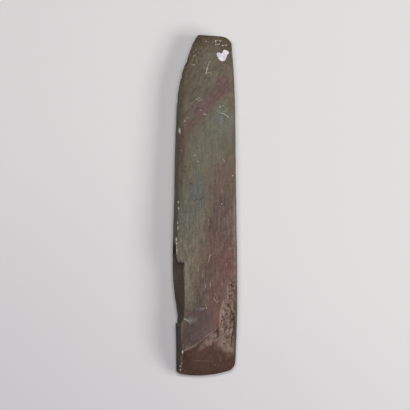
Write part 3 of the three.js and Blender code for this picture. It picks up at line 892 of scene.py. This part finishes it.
class Graph:
    """A node tree, built by short calls that take and give sockets."""

    def __init__(self, owner):
        owner.use_nodes = True
        self.nodes, self.links = owner.node_tree.nodes, owner.node_tree.links

    def node(self, kind, inputs, **settings):
        node = self.nodes.new(kind)
        for name, value in settings.items():
            setattr(node, name, value)
        for name, value in inputs.items():
            self.feed(node.inputs[name], value)
        return node

    def feed(self, socket, value):
        if isinstance(value, bpy.types.NodeSocket):
            self.links.new(value, socket)
        else:
            socket.default_value = value

    def math(self, operation, *values, clamp=False):
        inputs = dict(enumerate(values))
        node = self.node("ShaderNodeMath", inputs, operation=operation, use_clamp=clamp)
        return node.outputs[0]

    plus = functools.partialmethod(math, "ADD")
    minus = functools.partialmethod(math, "SUBTRACT")
    times = functools.partialmethod(math, "MULTIPLY")

    def total(self, start, rows):
        """A start with shares added, each times its amount."""
        for share, amount in rows:
            start = self.plus(start, self.times(share, amount))
        return start

    def vector(self, operation, *values):
        node = self.node("ShaderNodeVectorMath", dict(enumerate(values)), operation=operation)
        return node.outputs["Value" if operation in ("DOT_PRODUCT", "LENGTH") else "Vector"]

    def spread(self, value, low, high, start=0, end=1):
        inputs = {"Value": value, 1: low, 2: high, 3: start, 4: end}
        node = self.node("ShaderNodeMapRange", inputs, interpolation_type="SMOOTHSTEP")
        return node.outputs[0]

    def noise(self, place, size, detail=2, rough=0.5):
        inputs = {"Vector": place, "Scale": 1 / size, "Detail": detail, "Roughness": rough}
        return self.node("ShaderNodeTexNoise", inputs).outputs[0]

    def mix(self, share, a, b, blend="MIX"):
        inputs = {0: share, 6: a, 7: b}
        node = self.node("ShaderNodeMix", inputs, data_type="RGBA", blend_type=blend)
        return node.outputs[2]

    def attribute(self, name, output="Fac"):
        return self.node("ShaderNodeAttribute", {}, attribute_name=name).outputs[output]

    def stretched(self, place, x, y, z):
        return self.vector("MULTIPLY", place, (1 / x, 1 / y, 1 / z))

    def segment(self, place, start, end, width):
        """1 on a line from start to end in plan, falling to 0 at this half width."""
        run = (end[0] - start[0], end[1] - start[1], 0)
        square = run[0] ** 2 + run[1] ** 2
        offset = self.vector("SUBTRACT", place, (*start, 0.0))
        share = self.vector("DOT_PRODUCT", offset, tuple(v / square for v in run))
        share = self.math("MULTIPLY", share, 1.0, clamp=True)
        along = self.node(
            "ShaderNodeVectorMath", {"Vector": run, "Scale": share}, operation="SCALE"
        ).outputs["Vector"]
        away = self.vector("LENGTH", self.vector("SUBTRACT", offset, along))
        return self.spread(away, width, 0.3 * width)


class Surface(Graph):
    """A material's nodes, round one Principled shader."""

    def __init__(self, name):
        self.material = bpy.data.materials.new(name)
        super().__init__(self.material)
        self.nodes.clear()
        self.output = self.nodes.new("ShaderNodeOutputMaterial")
        self.shader = self.nodes.new("ShaderNodeBsdfPrincipled")
        self.links.new(self.shader.outputs["BSDF"], self.output.inputs["Surface"])
        where = self.nodes.new("ShaderNodeTexCoord").outputs["Object"]
        self.place = self.vector("MULTIPLY", where, (1 / MM,) * 3)  # in millimetres

    def set(self, **sockets):
        for name, value in sockets.items():
            self.feed(self.shader.inputs[name.replace("_", " ")], value)

    def bump(self, height, depth):
        """Relief for the shader, this many millimetres deep."""
        inputs = {"Height": height, "Distance": depth * MM, "Strength": 1.0}
        self.set(Normal=self.node("ShaderNodeBump", inputs).outputs[0])


# Scratches on the face: the start's x and y, the end's, half width, strength
SCRATCHES = [
    (4.7, 143.3, 2.6, 137.5, 0.65, 0.4), (2.6, 137.5, 0.9, 130.9, 0.65, 0.8),
    (0.9, 130.9, 3.4, 131.8, 0.4, 0.6), (3.4, 131.8, 6.3, 131.2, 0.4, 0.5),
    (-9.5, 104.5, -4.5, 106.8, 0.5, 0.3), (15, 91.7, 19, 90.6, 0.4, 0.75),
    (19, 90.6, 23.4, 87.4, 0.4, 0.85), (14.4, 97.4, 15.2, 98, 0.5, 0.8),
    (17.6, 98.6, 18.4, 99.2, 0.45, 0.6), (-1.6, 90.4, 1.2, 90, 0.8, 0.35),
    (-5, 94.6, -2.6, 94.2, 0.4, 0.4), (-6.6, 103.2, -2.8, 105.2, 0.5, 0.3),
    (-12.8, 139.8, -9.8, 139.4, 0.5, 0.5), (-20.7, 83.4, -19.8, 83.6, 0.6, 0.75),
    (-16.9, 86.2, -16.3, 87, 0.45, 0.6), (-23.9, 54.3, -23.5, 54.5, 0.6, 0.7),
    (-10.4, 49.5, -10.2, 49, 0.6, 0.85), (-7.1, 43.4, -6.9, 43.1, 0.6, 0.8),
    (17.6, 46, 19.9, 43, 0.45, 0.4), (27.6, 29.4, 27.9, 29, 0.6, 0.8),
    (16.4, 1.2, 16.8, 1, 0.55, 0.9), (14.2, -1.6, 15.2, -1, 0.4, 0.5),
    (3.6, -14, 4.2, -20, 0.4, 0.35), (4, -52.6, 5.4, -49, 0.45, 0.6),
    (3.2, -56.4, 4.2, -53.4, 0.45, 0.4), (-6.9, -61, -6.7, -65.5, 0.45, 0.45),
    (0.1, -78, 0.4, -82, 0.4, 0.5), (5.1, -77, 5.3, -81, 0.4, 0.45),
    (8.6, -92.4, 10.8, -95.2, 0.45, 0.55), (11.2, -96.6, 13.4, -95.4, 0.45, 0.5),
    (1.2, -101.6, 1.9, -102.6, 0.5, 0.7), (0.6, -98.6, 1.2, -101.6, 0.35, 0.35),
    (-18.6, -112.2, -13.8, -114.8, 0.4, 0.3), (-16.4, -114, -14.6, -118.4, 0.4, 0.3),
    (-3.6, -103.2, -0.4, -102.4, 0.5, 0.35), (-20.6, -112.7, -15.9, -115.6, 0.5, 0.8),
    (-11, -155.2, 7, -155.8, 0.4, 0.15), (14.6, -150, 15.6, -156.5, 0.35, 0.2),
]

# Bluish scuffs, and the brown round the label: middle, radii, strength, colour
SCUFF, LABEL_BROWN = (140, 142, 142), (62, 54, 50)
SCUFFS = [
    ((16.2, 84.6), (3, 4.6), 0.8, SCUFF), ((-0.4, 90.3), (5, 2.6), 0.25, SCUFF),
    ((-7, 105), (3.6, 1.6), 0.3, SCUFF), ((-12.6, -114), (6, 4.6), 0.4, SCUFF),
    ((-4, -103.4), (4.5, 2.4), 0.35, SCUFF), ((17.2, 148.5), (10, 9), 0.35, LABEL_BROWN),
    ((15.4, 152.4), (2.6, 1.8), 0.7, LABEL_BROWN),
]


def scratches(g):
    """Where the scratches lie, from 0 to 1."""
    flat = g.vector("MULTIPLY", g.place, (1.0, 1.0, 0.0))
    lines = [g.times(g.segment(flat, row[:2], row[2:4], row[4]), row[5]) for row in SCRATCHES]
    return functools.reduce(lambda a, b: g.math("MAXIMUM", a, b), lines)


def stone_material():
    g = Surface("worn_jadeite")
    place = g.place
    streak = g.noise(g.stretched(place, 2.4, 20, 8), 1, 4, 0.6)
    fine_streak = g.noise(g.stretched(place, 0.8, 10, 4), 1, 2, 0.6)
    mottle = g.noise(place, 5, 5, 0.62)
    fleck = g.noise(place, 0.9, 3, 0.65)
    coarse = g.noise(place, 2.6, 4, 0.7)
    gritty = g.noise(place, 1.5, 4, 0.7)
    waves = [g.minus(value, 0.5) for value in (streak, fine_streak, mottle, fleck, gritty, coarse)]
    streak_wave, fine_wave, mottle_wave, fleck_wave, gritty_wave, coarse_wave = waves
    rough, side, scar, struck, crack, streaky, top = (
        g.attribute(name)
        for name in ("rough", "side", "scar", "struck", "crack", "streaky", "top")
    )
    plain = g.times(g.minus(1, rough), g.minus(1, scar))

    # Value: streaks on the ground faces, mottling everywhere, most in the rough patch
    streaking = g.times(plain, g.spread(streaky, 0, 1, 0.2, 0.5))
    value = g.total(1, [
        (streak_wave, streaking), (fine_wave, streaking), (mottle_wave, 0.7), (fleck_wave, 0.5),
        (gritty_wave, 0.6), (coarse_wave, g.times(rough, 2)),
    ])
    grey = g.node("ShaderNodeCombineColor", {0: value, 1: value, 2: value}).outputs[0]
    colour = g.mix(1, g.attribute("tint", "Color"), grey, "MULTIPLY")

    # Pale specks, dark crystals, and pits in the rough patch
    cells = g.node("ShaderNodeTexVoronoi", {"Vector": place, "Scale": 1 / 2.3})
    spot = g.spread(cells.outputs["Distance"], 0.16, 0.07)
    pick = g.node("ShaderNodeSeparateColor", {0: cells.outputs["Color"]}).outputs[0]
    pale_spot = g.times(spot, g.math("GREATER_THAN", pick, 0.975))
    dark_spot = g.times(spot, g.math("LESS_THAN", pick, 0.05))
    pit = g.times(g.spread(coarse, 0.42, 0.3), rough)
    layers = [
        (g.times(pale_spot, 0.35), (160, 150, 138)), (g.times(dark_spot, 0.45), (60, 52, 46)),
        (g.times(pit, 0.75), (48, 38, 34)),
    ]

    # Scuffs, scratches, pale hairs, worn edges that also carry painted highlight, fresh nicks,
    # cracks, and painted shade in the deep chip and under the hinge step
    for middle, radii, strength, scuff_colour in SCUFFS:
        offset = g.vector("SUBTRACT", place, (*middle, 0.0))
        away = g.vector("LENGTH", g.vector("MULTIPLY", offset, (1 / radii[0], 1 / radii[1], 0.0)))
        share = g.times(g.spread(away, 1.2, 0.2), g.spread(fine_streak, 0.4, 0.58))
        layers.append((g.times(g.times(share, top), strength), scuff_colour))
    broken = g.spread(g.noise(place, 1.1, 2), 0.28, 0.46)
    scratched = g.times(g.times(scratches(g), top), broken)
    hairs = g.noise(g.stretched(place, 0.9, 9, 4), 1, 1)
    hair = g.times(g.spread(hairs, 0.6, 0.78), g.spread(mottle, 0.4, 0.6))
    hair = g.times(hair, g.times(g.times(top, plain), streaky))
    # Pale worn edges, partly painted highlight along the ridge, the scar's edge and the arrises
    worn = g.times(g.attribute("wear_and_edge_highlight"), g.spread(mottle, 0.3, 0.6))
    layers += [
        (scratched, (200, 194, 177)), (g.times(hair, 0.5), (146, 134, 112)),
        (worn, (148, 128, 124)), (g.attribute("nick"), (234, 230, 212)),
        (g.times(crack, 0.9), (38, 29, 26)), (g.attribute("painted_hollow_shade"), (24, 19, 14)),
    ]
    for share, layer_colour in layers:
        colour = g.mix(share, colour, tone(*layer_colour))

    dull = g.total(g.times(streak_wave, 0.25), [(mottle_wave, 0.2)])
    dull = g.total(g.plus(dull, 0.7), [
        (rough, 0.2), (side, 0.04), (scar, 0.02), (struck, 0.08), (crack, 0.2), (scratched, 0.1),
    ])
    g.set(Base_Color=colour, Roughness=g.math("MINIMUM", dull, 0.95))
    g.set(Specular_IOR_Level=0.4, IOR=1.6)

    grit = g.times(g.minus(g.noise(place, 1.3, 5, 0.7), 0.5), 0.6)
    g.bump(g.total(g.times(fine_wave, g.times(plain, 0.05)), [
        (streak_wave, g.times(plain, 0.06)), (fleck_wave, 0.05), (grit, rough),
        (grit, g.times(g.plus(side, g.times(scar, 0.6)), 0.3)),
    ]), 1)
    return g.material


def paper_material():
    g = Surface("torn_paper")
    fibres = g.noise(g.stretched(g.place, 0.3, 1.4, 1), 1, 3, 0.6)
    blot = g.noise(g.place, 3.5, 3)
    colour = g.mix(g.spread(blot, 0.35, 0.7), tone(232, 226, 234), tone(206, 198, 210))
    colour = g.mix(g.spread(fibres, 0.55, 0.8, 0, 0.35), colour, tone(186, 176, 182))
    g.set(Base_Color=colour, Roughness=g.spread(blot, 0.3, 0.7, 0.78, 0.92))
    g.bump(fibres, 0.08)
    return g.material


def ink_material():
    g = Surface("worn_ink")
    worn = g.noise(g.place, 0.5, 3, 0.6)
    colour = g.mix(g.spread(worn, 0.5, 0.68), tone(232, 226, 212), tone(150, 140, 122))
    g.set(Base_Color=colour, Roughness=g.spread(worn, 0.3, 0.7, 0.6, 0.8))
    g.bump(worn, 0.03)
    return g.material


def floor_material():
    """Pale and matt, a little clouded, darker towards the bit end and the left in painted shade,
    fading away far from the stone.
    """
    g = Surface("pale_floor")
    across = g.vector("DOT_PRODUCT", g.place, (0.45, 0.89, 0.0))
    cloudy = g.times(g.minus(g.noise(g.place, 90, 2), 0.5), 60)
    painted_falloff = g.spread(g.plus(across, cloudy), -330, 40)
    g.set(Base_Color=g.mix(painted_falloff, tone(213, 212, 214), tone(228, 227, 226)))
    g.set(Roughness=0.9, Specular_IOR_Level=0.1)
    clear = g.nodes.new("ShaderNodeBsdfTransparent").outputs[0]
    far = g.spread(g.vector("LENGTH", g.place), 420.0, 1700.0)
    faded = g.node("ShaderNodeMixShader", {0: far, 1: g.shader.outputs[0], 2: clear})
    g.links.new(faded.outputs[0], g.output.inputs["Surface"])
    return g.material


# ---- The pieces ----

butt_middle = skin[-1].mean(axis=0)
vertices = np.concatenate([skin.reshape(-1, 3), butt_middle[None]])
stone = make_piece(
    "stone_body", vertices, stone_faces(len(skin)), stone_material(), "stone", "axe_head"
)
colours = stone.data.attributes.new("tint", "FLOAT_COLOR", "POINT")
filled = np.concatenate([tint.reshape(-1, 4), tint[-1].mean(axis=0)[None]])
colours.data.foreach_set("color", filled.astype(np.float32).ravel())
for name, values in masks.items():
    attribute = stone.data.attributes.new(name, "FLOAT", "POINT")
    filled = np.append(np.clip(values, 0, 1).ravel(), values[-1].mean())
    attribute.data.foreach_set("value", filled.astype(np.float32))

# The scrap of label: a torn sheet laid on the face, with its corners lifting
LABEL_MIDDLE = (17.6, 148.6)
LABEL_OUTLINE = [
    (-6.3, 2.9), (-6, 0.8), (-4.7, -2), (-3.4, -4.5), (-0.5, -5.7), (2.2, -5.2),
    (3.9, -1.6), (4.3, 1), (6.6, 2.6), (6.2, 3.9), (3.2, 5.6), (1.2, 6.4), (-0.9, 1.9),
    (-3.3, 3.4),
]
PAPER, PAPER_GAP = 0.14, 0.02
STEPS_A_SIDE, TEAR_PASSES, HOOPS = 6, 4, 9


def torn_outline():
    """The label's outline in short steps, with a ragged edge."""
    draw = np.random.default_rng(5)
    corners = np.array(LABEL_OUTLINE)[:, None]
    shares = np.arange(STEPS_A_SIDE)[:, None] / STEPS_A_SIDE
    points = mix(corners, np.roll(corners, -1, 0), shares).reshape(-1, 2)
    for _ in range(TEAR_PASSES):
        points = (np.roll(points, 1, 0) + 2 * points + np.roll(points, -1, 0)) / 4
    away = np.linalg.norm(points, axis=1, keepdims=True)
    return points * (1 + draw.normal(0, 0.22, (len(points), 1)) / away)


def label_mesh():
    """Two layers of hoops from the scrap's middle out to its torn edge, joined at the rim."""
    outline = torn_outline()
    sides = len(outline)
    hoops = np.linspace(0, 1, HOOPS + 1)[1:]
    flat = np.concatenate([np.zeros((1, 2))] + [outline * share for share in hoops])
    flat += LABEL_MIDDLE
    share = np.concatenate([[0], np.repeat(hoops, sides)])
    where = np.column_stack([flat, 0 * share])
    curl = share**4 * (0.3 + 0.45 * grain(where, 5, 61))
    crease = 0.08 * layered(where, 3, 62, 3)
    under = face_height(*flat.T) + PAPER_GAP
    lift = np.maximum(curl + crease, 0)
    layers = [np.column_stack([flat, under + thick + lift]) for thick in (0, PAPER)]
    count = len(flat)
    faces = []
    for i in range(sides):
        after = (i + 1) % sides
        faces.append((0, 1 + after, 1 + i))
        faces.append((count, count + 1 + i, count + 1 + after))
        for hoop in range(HOOPS - 1):
            inner, outer = 1 + hoop * sides, 1 + (hoop + 1) * sides
            corners = (inner + i, inner + after, outer + after, outer + i)
            faces.append(corners)
            faces.append(tuple(count + corners[k] for k in (0, 3, 2, 1)))
        rim = 1 + (HOOPS - 1) * sides
        faces.append((rim + i, rim + after, count + rim + after, count + rim + i))
    return np.concatenate(layers), faces


make_piece("label_scrap", *label_mesh(), paper_material(), "label_paper", "label_remnant")

# Two rows of short inked strokes above the label: the middle's x and y, length, lean in degrees
INK_STROKES = [
    (0.9, 163.1, 1.5, -70), (3.6, 162.3, 0.9, -50), (10.4, 163.2, 2.4, 6), (11.9, 163.9, 1, 60),
    (14.2, 163.9, 1.8, -32), (15.7, 163.3, 1.9, 38), (10.8, 159.9, 1.4, 40),
    (12.3, 159.6, 1.1, -55), (14, 160.1, 1.5, 24), (17.2, 158.9, 1.5, -62),
    (18.6, 159.2, 1, 30), (20.9, 159.3, 1.6, 50),
]
INK_WIDTH, INK_HEIGHT, INK_ROOT, INK_STEPS = 0.6, 0.05, -0.1, 7


def ink_mesh():
    """Each stroke is a bar of four-cornered cross-sections with narrowed, bent ends."""
    vertices, faces = [], []
    corners = [(-1, INK_ROOT), (1, INK_ROOT), (0.8, INK_HEIGHT), (-0.8, INK_HEIGHT)]
    for mx, my, length, turn in INK_STROKES:
        turn = math.radians(turn)
        along = np.array([math.sin(turn), math.cos(turn)])
        over = np.array([along[1], -along[0]])
        base = len(vertices)
        for share in np.linspace(-0.5, 0.5, INK_STEPS):
            half = INK_WIDTH / 2 * math.sqrt(max(1 - (1.8 * share) ** 4, 0.2))
            bend = 0.12 * math.sin(5 * share + mx)
            for side, lift in corners:
                px, py = np.array([mx, my]) + along * length * share + over * (side * half + bend)
                pz = float(face_height(px, py))
                swell = 0.1 * float(grain(np.array([px, py, pz]), (24, 70, 24), 1))
                vertices.append((px, py, pz + lift + swell))
        for k, i in itertools.product(range(INK_STEPS - 1), range(4)):
            low, high = base + 4 * k, base + 4 * (k + 1)
            after = (i + 1) % 4
            faces.append((low + i, high + i, high + after, low + after))
        end = base + 4 * (INK_STEPS - 1)
        faces.append((base, base + 1, base + 2, base + 3))
        faces.append((end + 3, end + 2, end + 1, end))
    return np.array(vertices), faces


make_piece("ink_marks", *ink_mesh(), ink_material(), "ink")

# ---- Stage, light and camera ----

FLOOR_HALF = 4.5
floor_corners = [
    (x * FLOOR_HALF, y * FLOOR_HALF, stone_low.z) for x, y in ((-1, -1), (1, -1), (1, 1), (-1, 1))
]
new_mesh("floor", floor_corners, [(0, 1, 2, 3)], floor_material())

# The room: pale walls round the horizon, dimmer overhead
world = bpy.data.worlds.new("studio")
bpy.context.scene.world = world
room = Graph(world)
backdrop = room.nodes["Background"]
looked_at = room.nodes.new("ShaderNodeTexCoord").outputs["Generated"]
upward = room.node("ShaderNodeSeparateXYZ", {0: looked_at}).outputs["Z"]
room.feed(backdrop.inputs["Strength"], room.spread(upward, 0.05, 0.3, 0.72, 0.04))
room.feed(backdrop.inputs["Color"], (0.985, 0.99, 1.0, 1.0))


def soft_light(name, place, size, power, colour):
    """A soft panel that faces the middle of the floor under the stone."""
    data = bpy.data.lights.new(name, "AREA")
    data.shape = "RECTANGLE"
    data.size, data.size_y = size
    data.energy = power
    data.color = colour
    lamp = new_object(name, data)
    lamp.location = place
    lamp.visible_camera = False
    lamp.rotation_euler = (-Vector(place)).to_track_quat("-Z", "Y").to_euler()


soft_light("key", (1.7, -0.3, 1.667), (1.3, 1.05), 28.4, (1.0, 0.99, 0.98))
soft_light("overhead", (-0.04, 0.3, 2.35), (1.0, 0.8), 32.1, (0.995, 0.985, 1.0))

VIEW_SPAN, VIEW_PLANE = 0.41, 0.014
LENS, SENSOR = 250, 36
camera_data = bpy.data.cameras.new("camera")
camera_data.lens = LENS
camera_data.sensor_width = SENSOR
camera_data.clip_end = 50
camera = new_object("camera", camera_data)
camera.location = (0, 0.0001, VIEW_PLANE + VIEW_SPAN * LENS / SENSOR)
bpy.context.scene.camera = camera
bpy.context.scene.view_settings.view_transform = "Standard"


def plain(box):
    return [[float(v) for v in corner] for corner in box]
